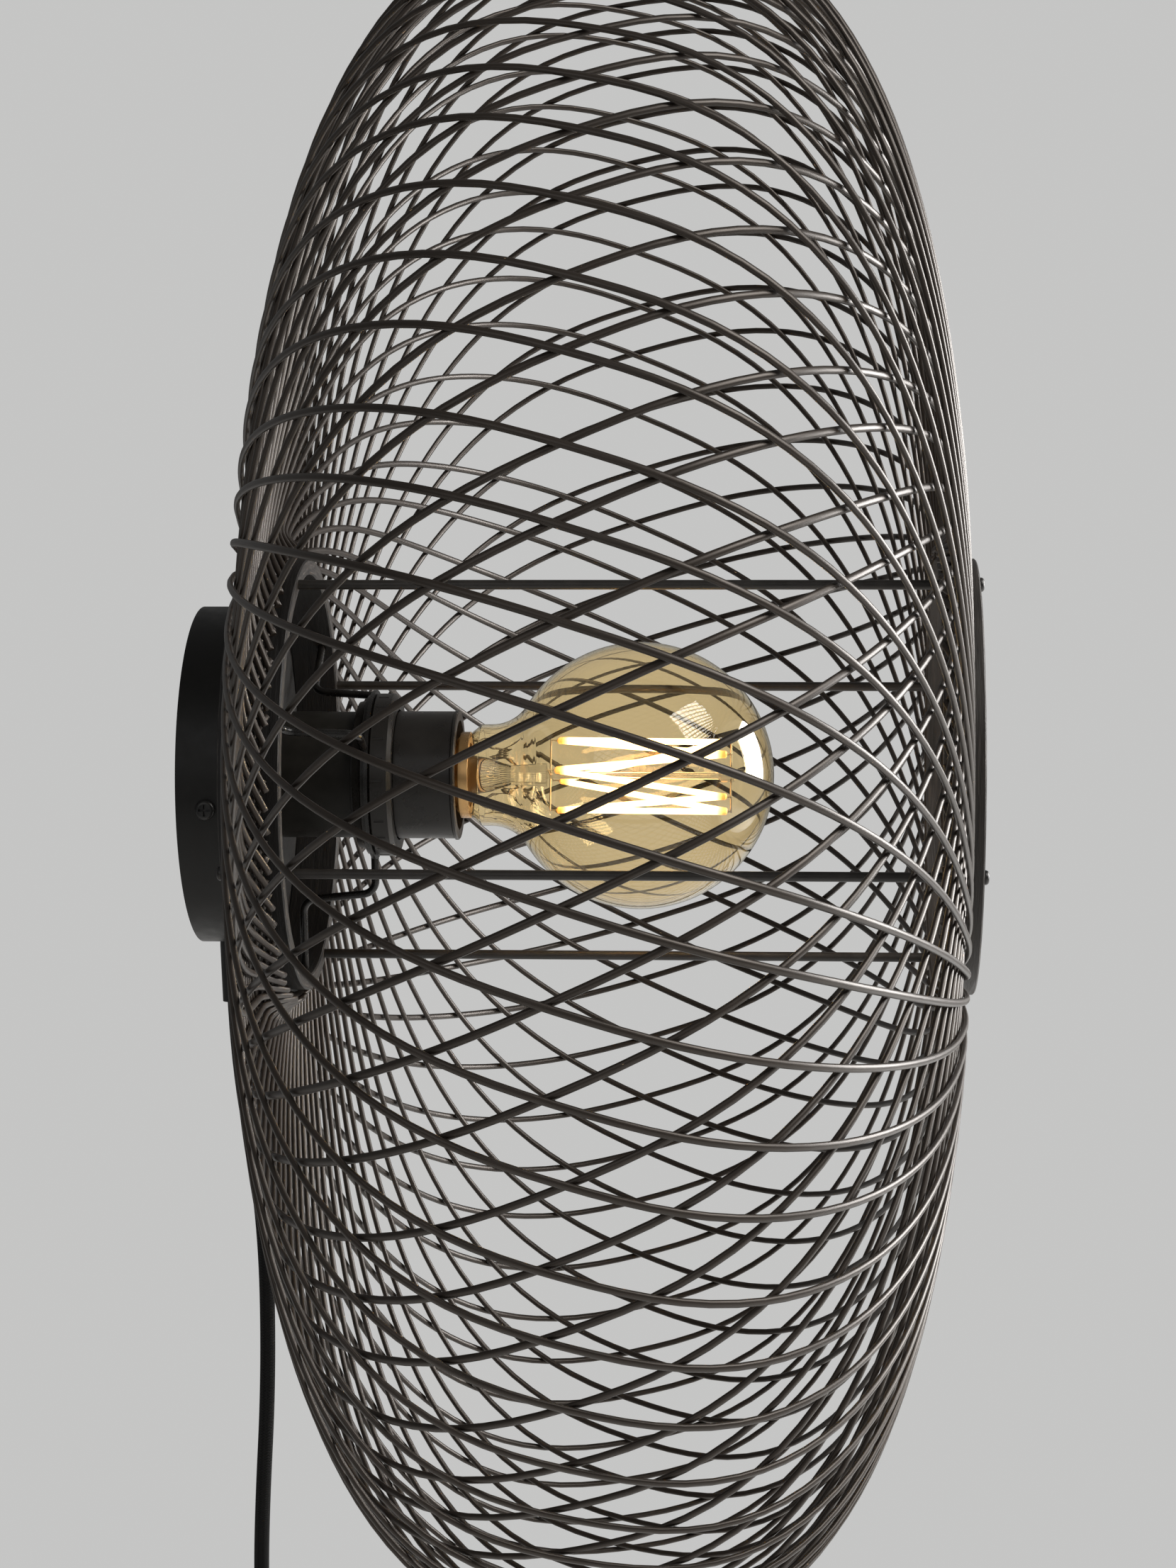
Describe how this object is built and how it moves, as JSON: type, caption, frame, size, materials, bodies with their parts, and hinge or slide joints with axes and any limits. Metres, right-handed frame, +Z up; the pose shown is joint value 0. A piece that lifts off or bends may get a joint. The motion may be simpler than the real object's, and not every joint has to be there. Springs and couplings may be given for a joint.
{
  "type": "bamboo wall lamp",
  "caption": "Round flat wall lamp with an open shade of crossing dark bamboo strands around a globe bulb, on a black canopy with a hanging textile cord.",
  "frame": {"origin": "centre of the wall bracket's back face, where the lamp's axis meets the wall", "axes": "+Y into the wall, so the lamp stands out along -Y; +Z up; X to the side"},
  "size_m": [0.598, 0.2754, 0.8418],
  "materials": {
    "canopy_paint": "satin",
    "skirt_plastic": "satin",
    "zinc_steel": "satin",
    "black_screws": "satin",
    "terminal_plastic": "matte",
    "terminal_brass": "satin",
    "lead_insulation": "satin",
    "holder_plastic": "satin",
    "wire_black": "gloss",
    "hub_wood": "satin",
    "bamboo": "satin",
    "amber_glass": "gloss",
    "stem_glass": "gloss",
    "cap_brass": "satin",
    "cap_insulator": "gloss",
    "solder": "satin",
    "filament": "satin",
    "filament_wire": "satin",
    "cord_textile": "matte",
    "tie_fabric": "matte",
    "cord_plastic": "satin",
    "rocker_plastic": "satin",
    "pin_metal": "polished"
  },
  "bodies": {
    "lamp": {"canopy": "canopy_paint", "holder_sleeve": "canopy_paint", "back_collar": "canopy_paint", "lampholder_skirt": "skirt_plastic", "wall_bracket": "zinc_steel", "threaded_tube": "zinc_steel", "canopy_nut": "zinc_steel", "sleeve_nut": "zinc_steel", "canopy_washer": "zinc_steel", "canopy_screws": "black_screws", "front_rod_screws": "black_screws", "back_rod_screws": "black_screws", "terminal_block": "terminal_plastic", "terminal_screws": "terminal_brass", "screw_shell": "terminal_brass", "centre_contact": "terminal_brass", "supply_leads": "lead_insulation", "holder_leads": "lead_insulation", "holder_base": "holder_plastic", "shade_spider": "wire_black", "shade_rods": "wire_black", "back_hoop": "hub_wood", "front_hoop": "hub_wood", "back_ring": "hub_wood", "front_ring": "hub_wood", "outer_strands": "bamboo", "inner_strands": "bamboo", "cord_hanging": "cord_textile", "cord_coil": "cord_textile", "coil_tie": "tie_fabric", "cord_grip": "cord_plastic", "switch_base": "cord_plastic", "switch_cover": "cord_plastic", "plug_body": "cord_plastic", "plug_pins": "pin_metal"},
    "bulb": {"bulb_glass": "amber_glass", "bulb_stem": "stem_glass", "bulb_cap": "cap_brass", "bulb_insulator": "cap_insulator", "bulb_contact": "solder", "bulb_filaments": "filament", "filament_leads": "filament_wire", "filament_hooks": "filament_wire"},
    "shade_ring": {"shade_ring": "canopy_paint"},
    "rocker": {"switch_rocker": "rocker_plastic"}
  },
  "joints": [
    {"name": "bulb_turn", "type": "hinge", "parent": "lamp", "child": "bulb", "pos_m": [0, -0.156, 0], "axis": [0, -1, 0], "range_deg": [0, 720]},
    {"name": "shade_ring_turn", "type": "hinge", "parent": "lamp", "child": "shade_ring", "pos_m": [0, -0.066, 0], "axis": [0, -1, 0], "range_deg": [0, 720]},
    {"name": "rocker_tilt", "type": "hinge", "parent": "lamp", "child": "rocker", "pos_m": [0, -0.0217, -0.328], "axis": [-1, 0, 0], "range_deg": [0, 16]}
  ]
}
